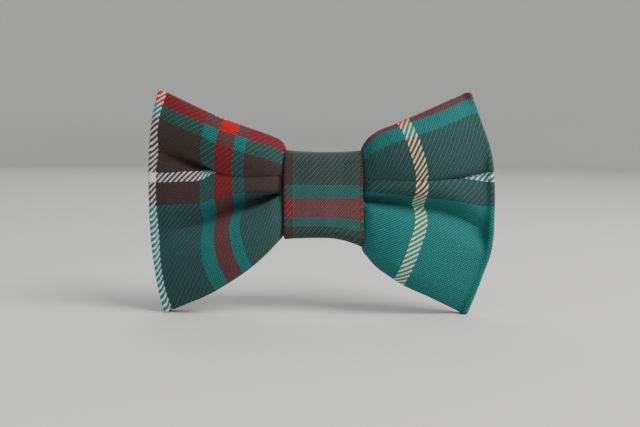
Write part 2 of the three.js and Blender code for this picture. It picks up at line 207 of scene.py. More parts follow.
class Nodes:
    """Short ways to add and join shader nodes."""

    def __init__(self, name):
        self.material = bpy.data.materials.new(name)
        self.material.use_nodes = True
        self.tree = self.material.node_tree
        self.shader = self.tree.nodes["Principled BSDF"]

    def add(self, kind, **settings):
        node = self.tree.nodes.new(kind)
        for key, value in settings.items():
            setattr(node, key, value)
        return node

    def put(self, value, socket):
        if isinstance(value, bpy.types.NodeSocket):
            self.tree.links.new(value, socket)
        else:
            socket.default_value = value

    def math(self, operation, *values):
        node = self.add("ShaderNodeMath", operation=operation)
        for value, socket in zip(values, node.inputs):
            self.put(value, socket)
        return node.outputs[0]

    def mix_color(self, factor, a, b, blend="MIX"):
        node = self.add("ShaderNodeMix", data_type="RGBA", blend_type=blend)
        self.put(factor, node.inputs[0])
        self.put(a, node.inputs[6])
        self.put(b, node.inputs[7])
        return node.outputs[2]

    def mix_value(self, factor, a, b):
        node = self.add("ShaderNodeMix", data_type="FLOAT")
        self.put(factor, node.inputs[0])
        self.put(a, node.inputs[2])
        self.put(b, node.inputs[3])
        return node.outputs[0]

    def soft_step(self, value, low, high):
        node = self.add("ShaderNodeMapRange", interpolation_type="SMOOTHSTEP")
        self.put(value, node.inputs[0])
        self.put(low, node.inputs[1])
        self.put(high, node.inputs[2])
        return node.outputs[0]

    def noise(self, vector, scale, detail=2.0):
        node = self.add("ShaderNodeTexNoise")
        self.put(vector, node.inputs["Vector"])
        self.put(scale, node.inputs["Scale"])
        self.put(detail, node.inputs["Detail"])
        return node.outputs[0]

    def stretched(self, vector, scale):
        """The same coordinates, stretched along their axes."""
        node = self.add("ShaderNodeMapping")
        self.put(vector, node.inputs["Vector"])
        self.put(scale, node.inputs["Scale"])
        return node.outputs[0]

    def split(self, vector):
        node = self.add("ShaderNodeSeparateXYZ")
        self.put(vector, node.inputs[0])
        return node.outputs

    def grey(self, value):
        node = self.add("ShaderNodeCombineColor")
        for channel in range(3):
            self.put(value, node.inputs[channel])
        return node.outputs[0]

    def raised(self, color, power):
        node = self.add("ShaderNodeGamma")
        self.put(color, node.inputs[0])
        self.put(power, node.inputs[1])
        return node.outputs[0]

    def bump(self, height, distance, strength=1.0):
        node = self.add("ShaderNodeBump")
        self.put(strength, node.inputs["Strength"])
        self.put(distance, node.inputs["Distance"])
        self.put(height, node.inputs["Height"])
        return node.outputs[0]

    def object_place(self):
        return self.add("ShaderNodeTexCoord").outputs["Object"]

    def cloth_map(self):
        return self.add("ShaderNodeUVMap", uv_map="cloth").outputs[0]

    def set(self, **sockets):
        for key, value in sockets.items():
            self.put(value, self.shader.inputs[key.replace("_", " ")])


TEAL = (0.010, 0.140, 0.128)
BROWN = (0.050, 0.033, 0.031)
RED = (0.460, 0.005, 0.009)
WHITE = (0.780, 0.780, 0.800)
CREAM = (0.820, 0.800, 0.480)
BAND_TEAL = (0.026, 0.105, 0.095)
BAND_RED = (0.420, 0.020, 0.028)

PALE_BLEND = 0.12  # pale threads take on less of the colour of the threads that they cross
DARK_BLEND = 0.26

END_PITCH = 0.445 * MM  # warp threads
PICK_PITCH = 0.47 * MM  # weft threads


def sett_ramp(nodes, position, stripes, span):
    """Colour bands along one thread direction, and how much each takes on of the threads that it
    crosses. stripes lists (start in mm, colour), from the lowest."""
    low, high = span
    share = nodes.math("DIVIDE", nodes.math("SUBTRACT", position, low * MM), (high - low) * MM)
    ramp = nodes.add("ShaderNodeValToRGB")
    ramp.color_ramp.interpolation = "CONSTANT"
    elements = ramp.color_ramp.elements
    while len(elements) > 1:
        elements.remove(elements[-1])
    for index, (start, color) in enumerate(stripes):
        place = max(0.0, (start - low) / (high - low))
        element = elements[0] if index == 0 else elements.new(place)
        element.position = place
        element.color = (*color, PALE_BLEND if color in (WHITE, CREAM) else DARK_BLEND)
    nodes.put(share, ramp.inputs[0])
    return ramp.outputs["Color"], ramp.outputs["Alpha"]


def twill_material(name, warp_stripes, warp_span, weft_stripes, weft_span):
    """A two-and-two twill whose threads follow the piece's cloth map, in metres."""
    nodes = Nodes(name)
    uv = nodes.cloth_map()
    place = nodes.split(uv)

    # The threads wander a little, over about a centimetre and from one to the next
    sway = nodes.math("MULTIPLY", nodes.math("SUBTRACT", nodes.noise(uv, 110.0), 0.5), 0.35 * MM)
    quiver = nodes.math("MULTIPLY", nodes.math("SUBTRACT", nodes.noise(uv, 1300.0), 0.5), 0.18 * MM)
    wander = nodes.math("ADD", sway, quiver)
    across = nodes.math("ADD", place[0], wander)
    up = nodes.math("SUBTRACT", place[1], wander)
    warp_color, warp_blend = sett_ramp(nodes, across, warp_stripes, warp_span)
    weft_color, weft_blend = sett_ramp(nodes, up, weft_stripes, weft_span)

    # The wales: slanting ridges of floats, warp over weft for half of every four threads
    end = nodes.math("DIVIDE", across, END_PITCH)
    pick = nodes.math("DIVIDE", up, PICK_PITCH)
    end_number = nodes.math("FLOOR", end)
    pick_number = nodes.math("FLOOR", pick)
    stepped_end = nodes.mix_value(0.4, end, nodes.math("ADD", end_number, 0.5))
    stepped_pick = nodes.mix_value(0.4, pick, nodes.math("ADD", pick_number, 0.5))
    turn = nodes.math("MULTIPLY", nodes.math("SUBTRACT", stepped_end, stepped_pick), math.pi / 2)
    wale = nodes.math("SINE", turn)
    warp_over = nodes.soft_step(wale, -0.28, 0.28)
    rise = nodes.math("POWER", nodes.math("ABSOLUTE", wale), 0.7)

    # Each thread is round, and slubbed along its length
    end_round = nodes.math("SINE", nodes.math("MULTIPLY", nodes.math("FRACT", end), math.pi))
    pick_round = nodes.math("SINE", nodes.math("MULTIPLY", nodes.math("FRACT", pick), math.pi))
    round_thread = nodes.mix_value(warp_over, pick_round, end_round)
    warp_slub = nodes.noise(nodes.stretched(uv, (2400.0, 420.0, 1.0)), 1.0)
    weft_slub = nodes.noise(nodes.stretched(uv, (420.0, 2400.0, 1.0)), 1.0)
    slub = nodes.mix_value(warp_over, weft_slub, warp_slub)
    fuzz = nodes.noise(uv, 5200.0, 3.0)

    yarn = nodes.mix_value(warp_over, pick_number, nodes.math("ADD", end_number, 517.0))
    yarn_tone = nodes.add("ShaderNodeTexWhiteNoise", noise_dimensions="1D")
    nodes.put(nodes.math("FLOOR", yarn), yarn_tone.inputs["W"])
    cloud = nodes.noise(uv, 90.0)

    # Yarn tone, slubs and cloudy patches are the cloth's own colour; the two factors after them are painted
    # shade
    tone_and_painted_shade = nodes.math("ADD", nodes.math("MULTIPLY", yarn_tone.outputs[0], 0.10), 0.86)
    tone_and_painted_shade = nodes.math("ADD", tone_and_painted_shade, nodes.math("MULTIPLY", slub, 0.26))
    tone_and_painted_shade = nodes.math("MULTIPLY", tone_and_painted_shade, nodes.mix_value(cloud, 0.9, 1.1))
    # Painted shade: darker in the grooves between the wales and at the sides of each round thread
    tone_and_painted_shade = nodes.math("MULTIPLY", tone_and_painted_shade, nodes.mix_value(rise, 0.38, 1.20))
    tone_and_painted_shade = nodes.math("MULTIPLY", tone_and_painted_shade, nodes.mix_value(round_thread, 0.70, 1.12))

    # Light passes through the threads, so each is tinted by the one that it crosses
    own = nodes.mix_color(warp_over, weft_color, warp_color)
    crossed = nodes.mix_color(warp_over, warp_color, weft_color)
    blend = nodes.math("MINIMUM", warp_blend, weft_blend)
    color = nodes.mix_color(1.0, nodes.raised(own, nodes.math("SUBTRACT", 1.0, blend)),
                            nodes.raised(crossed, blend), "MULTIPLY")
    # The yarn colours are darkened by their own tone and by the painted shade in the grooves
    color = nodes.mix_color(1.0, color, nodes.grey(tone_and_painted_shade), "MULTIPLY")
    relief = nodes.math("MULTIPLY", nodes.mix_value(round_thread, 0.55, 1.0), rise)
    relief = nodes.math("ADD", relief, nodes.math("MULTIPLY", fuzz, 0.35))
    nodes.set(Base_Color=color, Normal=nodes.bump(relief, 0.16 * MM, 0.8))
    nodes.set(Roughness=0.82, Specular_IOR_Level=0.22, Sheen_Weight=0.07, Sheen_Roughness=0.4)
    return nodes.material


def lining_material():
    """Pressed interlining: pale felted fibres."""
    nodes = Nodes("interlining_felt")
    uv = nodes.cloth_map()
    fibres = nodes.noise(nodes.stretched(uv, (2600.0, 700.0, 1.0)), 1.0, 4.0)
    crossing = nodes.noise(nodes.stretched(uv, (600.0, 2800.0, 1.0)), 1.0, 4.0)
    felt = nodes.math("MAXIMUM", fibres, crossing)
    color = nodes.mix_color(felt, (0.52, 0.49, 0.42, 1.0), (0.84, 0.82, 0.76, 1.0))
    nodes.set(Base_Color=color, Roughness=0.92, Specular_IOR_Level=0.2)
    nodes.set(Normal=nodes.bump(felt, 0.08 * MM, 0.6))
    return nodes.material


def thread_material():
    """Two plies of dark green cotton, twisted. The map runs along the thread, in metres."""
    nodes = Nodes("sewing_thread")
    place = nodes.split(nodes.cloth_map())
    slant = nodes.math("ADD", nodes.math("DIVIDE", place[0], 0.8 * MM), place[1])
    ply = nodes.math("ABSOLUTE", nodes.math("SINE", nodes.math("MULTIPLY", slant, 2 * math.pi)))
    fluff = nodes.noise(nodes.cloth_map(), 900.0, 3.0)
    # Darker where the two plies meet: painted shade in the groove between them, over the yarn's own fluffy
    # unevenness
    ply_shade_and_fluff = nodes.math("MULTIPLY", nodes.mix_value(ply, 0.35, 1.0), nodes.mix_value(fluff, 0.7, 1.25))
    color = nodes.mix_color(ply_shade_and_fluff, (0.006, 0.012, 0.012, 1.0), (0.030, 0.075, 0.070, 1.0))
    nodes.set(Base_Color=color, Roughness=0.6, Sheen_Weight=0.15)
    nodes.set(Normal=nodes.bump(ply, 0.05 * MM, 0.8))
    return nodes.material


def nickel_material():
    """Bright nickel plate: a faint orange-peel, fine rubbing marks and dulled patches."""
    nodes = Nodes("nickel_plate")
    place = nodes.object_place()
    rubs = nodes.noise(nodes.stretched(place, (260.0, 2600.0, 6500.0)), 1.0, 4.0)
    cloud = nodes.noise(place, 240.0, 3.0)
    peel = nodes.noise(place, 1500.0, 2.0)
    dull = nodes.soft_step(cloud, 0.48, 0.66)
    color = nodes.mix_color(dull, (0.64, 0.62, 0.58, 1.0), (0.60, 0.58, 0.54, 1.0))
    roughness = nodes.math("ADD", nodes.mix_value(dull, 0.18, 0.25), nodes.math("MULTIPLY", rubs, 0.12))
    relief = nodes.math("ADD", nodes.math("MULTIPLY", peel, 0.5), nodes.math("MULTIPLY", rubs, 0.5))
    nodes.set(Base_Color=color, Roughness=roughness, Metallic=1.0)
    nodes.set(Normal=nodes.bump(relief, 0.012 * MM, 0.5))
    return nodes.material


def spring_material():
    """Drawn spring wire: grey steel with die lines along it."""
    nodes = Nodes("spring_wire")
    uv = nodes.cloth_map()
    lines = nodes.noise(nodes.stretched(uv, (120.0, 9.0, 1.0)), 1.0, 3.0)
    color = nodes.mix_color(lines, (0.34, 0.34, 0.36, 1.0), (0.62, 0.61, 0.60, 1.0))
    nodes.set(Base_Color=color, Roughness=nodes.mix_value(lines, 0.26, 0.42), Metallic=1.0)
    nodes.set(Normal=nodes.bump(lines, 0.01 * MM, 0.5))
    return nodes.material


def floor_material():
    nodes = Nodes("pale_floor")
    nodes.set(Base_Color=(0.70, 0.69, 0.67, 1.0), Roughness=0.75, Specular_IOR_Level=0.2)
    return nodes.material


# Stripes along the bow, in millimetres from the knot centre. The cloth goes on past each outer
# fold onto the back.
BOW_WARP_SPAN = (-125.0, 125.0)
BOW_WARP = [
    (-125.0, TEAL), (-108.0, WHITE), (-104.5, TEAL), (-83.0, CREAM), (-79.0, TEAL), (-58.8, WHITE),
    (-55.0, BROWN), (-40.1, TEAL), (-36.1, RED), (-29.8, TEAL), (-25.4, BROWN), (-2.0, TEAL),
    (28.5, CREAM), (32.6, TEAL), (58.6, WHITE), (62.2, BROWN), (75.6, TEAL),
    (79.6, RED), (85.9, TEAL), (90.2, BROWN), (102.8, WHITE),
]
# Stripes across it, in millimetres from the lower edge of the cloth.
BOW_WEFT_SPAN = (-3.0, 76.0)
BOW_WEFT = [
    (-3.0, TEAL), (34.1, BROWN), (41.6, WHITE), (44.6, BROWN), (62.4, TEAL), (66.6, RED), (73.5, TEAL),
]
# The band's own cloth: across the band, and up its front from the middle of the knot.
BAND_WARP_SPAN = (-20.0, 20.0)
BAND_WARP = [(-20.0, BROWN), (-10.2, BAND_TEAL), (12.0, BROWN)]
BAND_WEFT_SPAN = (-60.0, 60.0)
BAND_WEFT = [
    (-60.0, BROWN), (-10.3, BAND_TEAL), (-7.1, BAND_RED), (-1.0, BAND_TEAL), (3.0, BROWN),
]


# ------------------------------------------------------------------ meshes with a cloth map


def add_piece(name, points, faces, flat, material):
    """A smooth piece from its points, faces and the map places of its points, in metres."""
    mesh = bpy.data.meshes.new(name)
    mesh.from_pydata(points.reshape(-1, 3).tolist(), [], faces)
    layer = mesh.uv_layers.new(name="cloth")
    index = np.zeros(len(mesh.loops), dtype=np.int32)
    mesh.loops.foreach_get("vertex_index", index)
    layer.data.foreach_set("uv", flat.reshape(-1, 2)[index].reshape(-1).astype(np.float32))
    mesh.polygons.foreach_set("use_smooth", [True] * len(mesh.polygons))
    mesh.materials.append(material)
    mesh.update()
    piece = bpy.data.objects.new(name, mesh)
    bpy.context.collection.objects.link(piece)
    return piece


def ring_faces(rows, around):
    """Quads between rings of points, and a cap at each end."""
    i, k = np.meshgrid(np.arange(rows - 1), np.arange(around), indexing="ij")
    after = (k + 1) % around
    corners = [i * around + k, (i + 1) * around + k, (i + 1) * around + after, i * around + after]
    faces = np.stack(corners, -1).reshape(-1, 4).tolist()
    faces.append(list(range(around)))
    faces.append([(rows - 1) * around + k for k in reversed(range(around))])
    return faces


def pressed_tube(name, middle, across, up, thick, material, rim_steps=4):
    """A pressed tube of cloth about a grid of points, middle[i, j], i along it and j up across it.
    across and up are its thread directions' places in metres."""
    rows, columns = middle.shape[:2]
    along = np.gradient(middle, axis=0)
    upward = np.gradient(middle, axis=1)
    normal = np.cross(along, upward)
    normal /= np.linalg.norm(normal, axis=2, keepdims=True)
    half = thick / 2
    across = np.broadcast_to(across, (rows, columns))
    up = np.broadcast_to(up, (rows, columns))
    rim_angles = np.linspace(0, math.pi, rim_steps + 1)[1:-1]
    rings = [middle + half * normal]
    places = [np.stack([across, up], -1)]

    def rim(column, outward, angles):
        direction = upward[:, column] * outward
        direction = direction / np.linalg.norm(direction, axis=1, keepdims=True)
        for angle in angles:
            turn = math.cos(angle) * normal[:, column] + math.sin(angle) * direction
            rings.append((middle[:, column] + half * turn)[:, None])
            reach = half * (1 - math.cos(angle)) * 0.8
            places.append(np.stack([across[:, column], up[:, column] + outward * reach], -1)[:, None])

    rim(-1, 1, rim_angles)
    rings.append((middle - half * normal)[:, ::-1])
    places.append(np.stack([across, up], -1)[:, ::-1])
    rim(0, -1, rim_angles[::-1])
    ring = np.concatenate(rings, axis=1)
    flat = np.concatenate(places, axis=1)
    return add_piece(name, ring, ring_faces(rows, ring.shape[1]), flat, material)


def thread_tube(name, points, diameter, material, rounds=3, sides=10):
    """A round thread through points, smoothed, with its map along and around it."""
    line = np.array(points, dtype=float)
    for _ in range(rounds):
        cut = np.empty((2 * len(line) - 2, 3))
        cut[0::2] = 0.75 * line[:-1] + 0.25 * line[1:]
        cut[1::2] = 0.25 * line[:-1] + 0.75 * line[1:]
        line = np.concatenate([line[:1], cut, line[-1:]])
    line = line[np.concatenate([[True], np.linalg.norm(np.diff(line, axis=0), axis=1) > 1e-7])]
    ahead = np.gradient(line, axis=0)
    ahead /= np.linalg.norm(ahead, axis=1, keepdims=True)
    side = np.cross(ahead[0], (0.31, 0.52, 0.79))
    angles = np.linspace(0, 2 * math.pi, sides, endpoint=False)
    gone = np.concatenate([[0], np.cumsum(np.linalg.norm(np.diff(line, axis=0), axis=1))])
    rings, places = [], []
    for i, direction in enumerate(ahead):
        side = side - direction * side.dot(direction)
        side /= np.linalg.norm(side)
        other = np.cross(direction, side)
        ring = [line[i] + diameter / 2 * (math.cos(a) * side + math.sin(a) * other) for a in angles]
        rings.append(ring)
        places.append([(gone[i], a / (2 * math.pi)) for a in angles])
    rings = np.array(rings)
    faces = [face[::-1] for face in ring_faces(len(line), sides)]
    piece = add_piece(name, rings, faces, np.array(places), material)
    only(piece)
    bpy.ops.object.mode_set(mode="EDIT")
    bpy.ops.mesh.select_all(action="SELECT")
    bpy.ops.mesh.normals_make_consistent(inside=False)
    bpy.ops.object.mode_set(mode="OBJECT")
    return piece


# ------------------------------------------------------------------ the bow

# How far the wing's cloth stands above and below the knot centre, in mm, at shares of the way
# from the band (0) to the fold (1).
WING_TOP = {
    -1: [(0.0, 12.4), (0.02, 15.2), (0.05, 16.9), (0.1, 17.9), (0.28, 20.5), (0.55, 24.2), (0.8, 28.6),
         (1.0, 32.4)],
    1: [(0.0, 12.2), (0.03, 15.2), (0.07, 17.4), (0.15, 19.6), (0.34, 22.5), (0.78, 29.0), (1.0, 32.5)],
}
WING_LOW = {
    -1: [(0.0, 10.6), (0.03, 12.4), (0.085, 14.8), (0.28, 22.0), (0.43, 26.2), (0.63, 31.0), (0.85, 35.0),
         (1.0, 37.8)],
    1: [(0.0, 12.0), (0.03, 16.4), (0.08, 19.0), (0.31, 25.6), (0.7, 32.4), (0.9, 36.0), (1.0, 37.8)],
}
# How far each outer fold stands from the knot centre, in mm, at heights above the ground.
FOLD_LINE = {
    -1: [(0.6, 51.8), (8.1, 53.6), (15.6, 54.8), (23.0, 55.6), (30.5, 56.1), (38.0, 56.3), (45.5, 56.3),
         (53.0, 56.0), (60.5, 55.3), (66.0, 54.3), (71.2, 53.0)],
    1: [(0.6, 47.4), (4.5, 49.0), (9.5, 50.9), (14.5, 52.6), (19.5, 54.4), (25.0, 55.2), (32.0, 55.4),
        (45.0, 55.0), (50.7, 54.3), (55.9, 52.9), (61.1, 50.9), (66.3, 49.0), (71.1, 47.2)],
}
# Two pleats run out from the knot. For each: where its floor lies up the cloth and how long its
# walls are, in mm, and how steeply the walls lean, in degrees, at shares of the way out.
UPPER_FLOOR = {-1: [(0.0, 49.3), (0.48, 47.3), (0.63, 49.1), (0.8, 51.0), (1.0, 52.3)],
               1: [(0.0, 48.3), (0.4, 45.2), (0.75, 44.6), (1.0, 45.0)]}
UPPER_WALL = {-1: [(0.0, 8.5), (0.48, 5.1), (0.63, 4.4), (0.8, 4.0), (1.0, 3.3)],
              1: [(0.0, 7.2), (0.4, 3.4), (0.75, 2.0), (1.0, 1.2)]}
UPPER_LEAN = {-1: [(0.0, 88.0), (0.47, 88.0), (0.63, 54.0), (0.8, 35.0), (1.0, 8.0)],
              1: [(0.0, 88.0), (0.45, 88.0), (0.72, 82.0), (1.0, 6.0)]}
LOWER_FLOOR = {-1: [(0.0, 25.0), (0.5, 25.5), (1.0, 25.0)],
               1: [(0.0, 25.5), (0.3, 29.0), (0.55, 29.5), (0.8, 28.0), (1.0, 26.0)]}
LOWER_WALL = {-1: [(0.0, 10.0), (0.5, 7.8), (1.0, 6.0)], 1: [(0.0, 7.8), (0.4, 6.8), (1.0, 5.2)]}
LOWER_LEAN = {-1: [(0.0, 86.0), (0.45, 49.0), (0.75, 21.0), (1.0, 5.0)],
              1: [(0.0, 66.0), (0.4, 42.0), (0.75, 32.0), (1.0, 13.0)]}
# How much nearer to the knot the cloth's stripes lie in the middle of a wing than the length of
# cloth from its fold would put them, in mm, at places up the cloth.
EASE = {-1: [(0.0, 2.6), (10.0, 1.3), (20.0, 0.4), (28.0, 0.3), (38.0, 0.9), (48.0, 1.6), (70.5, 1.9)],
        1: [(0.0, 2.1), (14.0, 1.8), (28.0, 1.2), (36.0, 0.4), (44.0, 0.2), (70.5, 0.4)]}
STEEPEST = 108.0  # degrees, the most that the cloth leans over in a pleat
# How far the front and the back of a wing stand from the middle of the bow, in mm.
CROWN = [(0.0, 4.3), (0.08, 7.5), (0.22, 9.4), (0.45, 9.5), (0.7, 7.0), (0.86, 4.4), (0.95, 2.5), (1.0, 1.5)]
REAR_CROWN = [(0.0, 0.9), (0.5, 1.6), (0.75, 2.5), (0.88, 2.7), (0.95, 2.2), (1.0, 1.5)]


def pleat_leans(side, s, v):
    """How far the cloth leans forward, in degrees, at each place v up it, in mm."""
    upper_floor = float(through(UPPER_FLOOR[side], s))
    upper_wall = float(through(UPPER_WALL[side], s))
    upper_lean = float(through(UPPER_LEAN[side], s))
    lower_floor = float(through(LOWER_FLOOR[side], s))
    lower_wall = float(through(LOWER_WALL[side], s))
    lower_lean = float(through(LOWER_LEAN[side], s))
    bend = 0.72  # the tightest that the cloth turns, at the middle of its thickness
    upper_turn = min(1.7 * upper_wall, bend * math.radians(2 * upper_lean) + 0.3)
    lower_turn = bend * 1.6 * math.radians(2 * lower_lean) + 0.6
    shoulder = mix(1.6, 3.6, s)
    knots = [
        (0.0, mix(58, 14, s)), (mix(5, 8, s), mix(12, 3, s)),
        (lower_floor - lower_wall - shoulder, -mix(24, 4, s)),
        (lower_floor - lower_wall, -lower_lean), (lower_floor - lower_turn / 2, -lower_lean),
        (lower_floor + lower_turn / 2, lower_lean), (lower_floor + 0.9 * lower_wall, lower_lean),
        (lower_floor + 0.9 * lower_wall + shoulder, mix(16, 2, s)),
        (upper_floor - 0.92 * upper_wall - shoulder, -mix(10, 1, s)),
        (upper_floor - 0.92 * upper_wall, -upper_lean),
        (upper_floor - upper_turn / 2, -upper_lean), (upper_floor + upper_turn / 2, upper_lean),
        (upper_floor + upper_wall, upper_lean), (upper_floor + upper_wall + shoulder, mix(34, 9, s)),
        (mix(64.5, 60.0, s), mix(0, 2, s)), (70.5, -mix(60, 16, s)),
    ]
    places = np.maximum.accumulate(np.array([place for place, _ in knots]) + np.arange(len(knots)) * 1e-4)
    return np.interp(v, places, [lean for _, lean in knots])


def cross_section(side, s, v):
    """Height and forward reach of the front cloth at s, before it is placed. The pleats are opened
    or closed until the cloth, at its own length, is as tall as the wing is there. The wing then
    makes them shallower near the knot and at the back, so the cloth is compressed there."""
    top = float(through(WING_TOP[side], s)) * MM
    low = float(through(WING_LOW[side], s)) * MM
    target = top + low
    leans = pleat_leans(side, s, v)
    steps = np.diff(v) * MM

    def laid(closing):
        lean = np.radians(np.clip(leans * closing, -STEEPEST, STEEPEST))
        rise = np.concatenate([[0.0], np.cumsum((np.cos(lean[1:]) + np.cos(lean[:-1])) / 2 * steps)])
        ahead = np.concatenate([[0.0], np.cumsum((np.sin(lean[1:]) + np.sin(lean[:-1])) / 2 * steps)])
        return rise, ahead

    opened, closed = 0.0, 1.25
    for _ in range(24):
        closing = (opened + closed) / 2
        if laid(closing)[0].max() > target:
            opened = closing
        else:
            closed = closing
    rise, ahead = laid(closed)
    scale = target / rise.max()
    return KNOT_Z - low + rise * scale, ahead * scale


def cloth_rows(count):
    """Places up the cloth, in mm, closer together where the pleats turn."""
    fine = np.linspace(0.0, 70.5, 2000)
    density = 1.0 + 2.0 * np.exp(-((fine - 47.5) / 4.0) ** 2) + 0.8 * np.exp(-((fine - 26) / 5.0) ** 2)
    density += 0.7 * np.exp(-((fine - 57) / 3.0) ** 2)
    filled = np.concatenate([[0.0], np.cumsum(density[1:])])
    return np.interp(np.linspace(0, filled[-1], count), filled, fine)


def wing(side, shares, v):
    """Grids of the wing's front and back cloth at each share s and place v up the cloth."""
    heights, reaches = zip(*[cross_section(side, s, v) for s in shares])
    heights = np.array(heights)
    reaches = np.array(reaches)
    folds = through(FOLD_LINE[side], heights[-1] / MM) * MM - FOLD_REACH - CLOTH_THICK / 2
    s = shares[:, None]
    x = KNOT_X + side * (PINCH_X + s * (folds[None, :] - PINCH_X))
    crown = through(CROWN, s) * MM
    depth = np.interp(shares, [0.0, 0.12, 0.35, 1.0], [0.38, 0.78, 1.0, 1.0])[:, None]
    lead = (reaches - reaches.max(axis=1, keepdims=True)) * depth
    front_y = KNOT_Y - (crown + lead)
    # The back lies in the front's pleats where it is bound, and has shallower ones further out
    nested = mix(0.9, 0.5, smooth(0.0, 0.25, s))
    back = through(REAR_CROWN, s) * MM
    if side < 0:
        back = back - mix(LAP_STEP, 0.0, smooth(0.0, 0.5, s))
    deepest = 4.6 * MM
    back_y = KNOT_Y + back + deepest * np.tanh(-nested * lead / deepest)
    front = np.stack([x, front_y, heights], -1)
    rear = np.stack([x, back_y, heights], -1)
    return front, rear


def gone_along(grid):
    """Length of cloth from the first row to each row, along every column."""
    steps = np.linalg.norm(np.diff(grid, axis=0), axis=2)
    gone = np.concatenate([np.zeros((1, grid.shape[1])), np.cumsum(steps, axis=0)])
    # Cloth gathers evenly, so neighbouring rows hardly differ in length
    kernel = np.hanning(13) / np.hanning(13).sum()
    padded = np.pad(gone, ((0, 0), (6, 6)), mode="edge")
    return np.stack([np.convolve(row, kernel, mode="valid") for row in padded])


def under_band(start, finish, count, inner=True):
    """Rows of cloth from one edge of the band to the other, without the first or the last."""
    share = np.linspace(0, 1, count)[1:-1] if inner else np.linspace(0, 1, count)[1:]
    return mix(start[None], finish[None], share[:, None, None])


def make_bow(material, lining):
    v = cloth_rows(161)
    s = np.linspace(0.0, 1.0, 56) ** 1.3
    turn = np.linspace(FOLD_SLANT, math.pi - FOLD_SLANT, 9)[1:-1]
    up = v * MM
    front_left, rear_left = wing(-1, s, v)
    front_right, rear_right = wing(1, s, v)

    def fold(edge, side):
        points = np.repeat(edge[None], len(turn), axis=0)
        points[:, :, 0] += side * FOLD_RADIUS * (np.sin(turn) - math.sin(FOLD_SLANT))[:, None]
        points[:, :, 1] = KNOT_Y - FOLD_RADIUS * np.cos(turn)[:, None]
        return points

    left_fold, right_fold = fold(front_left[-1], -1)[::-1], fold(front_right[-1], 1)
    inner_end, outer_end = rear_left[0].copy(), rear_right[0].copy()
    inner_end[:, 0] = KNOT_X + END_LAP
    outer_end[:, 0] = KNOT_X - END_LAP

    # Places along the cloth: measured from each fold, and eased in the middle of each wing
    swell = np.sin(math.pi * s)[:, None] * MM
    left_front = -LEFT_REACH + gone_along(front_left[::-1]) - (swell * through(EASE[-1], v))[::-1]
    right_front = RIGHT_REACH - gone_along(front_right[::-1])[::-1] + swell * through(EASE[1], v)
    left_rear = -LEFT_REACH - BACK_TURN - gone_along(rear_left[::-1])[::-1]
    right_rear = RIGHT_REACH + BACK_TURN + gone_along(rear_right[::-1])
    columns = np.ones(len(v))
    turned = ((turn - FOLD_SLANT) / (math.pi - 2 * FOLD_SLANT))[:, None] * columns
    bind = np.linspace(0, 1, 11)[1:-1][:, None]
    ends = np.linspace(0, 1, 8)[1:][:, None]
    inner_lap = (left_rear[0] - (PINCH_X + END_LAP) * ends)[::-1]
    outer_lap = right_rear[-1] + (PINCH_X + END_LAP) * ends

    grid = np.concatenate([
        under_band(rear_left[0], inner_end, 8, inner=False)[::-1], rear_left, left_fold, front_left[::-1],
        under_band(front_left[0], front_right[0], 11), front_right, right_fold, rear_right[::-1],
        under_band(rear_right[0], outer_end, 8, inner=False),
    ])
    across = np.concatenate([
        inner_lap, left_rear, -LEFT_REACH - BACK_TURN * turned[::-1], left_front,
        mix(left_front[-1], right_front[0], bind), right_front, RIGHT_REACH + BACK_TURN * turned,
        right_rear, outer_lap,
    ])
    # The tube's upper edge is pressed a little further over on the right
    rolled = 2.2 * MM * (v / 70.5) ** 2 * smooth(-20 * MM, 30 * MM, across)
    piece = pressed_tube("bow_cloth", grid, across, up - rolled, CLOTH_THICK, material)
    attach(piece, "bow")
    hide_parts("bow_loop")
    rows, sides = slice(2, -2), slice(3, -3)
    inner = pressed_tube("bow_lining", grid[rows, sides], across[rows, sides], up[sides],
                         LINING_THICK, lining)
    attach(inner, "bow")
    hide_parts("bow_interlining")


# ------------------------------------------------------------------ the centre band

BAND_TALL = 13.9 * MM  # half its height, outside
BAND_RISE = 0.4 * MM  # its middle, above the clip


def band_line(count):
    """Points in Y and Z round the band, from its inner end at the back, down, round the front and
    over the top to its outer end, with the length gone so far."""
    half = BAND_THICK / 2
    front = -(BAND_FRONT - half)
    back = BAND_BACK - 1.8 * MM - half
    lap = BAND_BACK - half
    top = BAND_TALL - half
    corner = 2.6 * MM
    points = [(back, 5 * MM)]

    def arc(center_y, center_z, start, stop, steps=14):
        for angle in np.linspace(start, stop, steps):
            points.append((center_y + corner * math.cos(angle), center_z + corner * math.sin(angle)))

    arc(back - corner, -top + corner, 0, -math.pi / 2)
    arc(front + corner, -top + corner, -math.pi / 2, -math.pi)
    arc(front + corner, top - corner, math.pi, math.pi / 2)
    arc(lap - corner, top - corner, math.pi / 2, 0)
    points.append((lap, -8 * MM))
    line = np.array(points)
    gone = np.concatenate([[0], np.cumsum(np.linalg.norm(np.diff(line, axis=0), axis=1))])
    even = np.linspace(0, gone[-1], count)
    return np.stack([np.interp(even, gone, line[:, 0]), np.interp(even, gone, line[:, 1])], -1), even


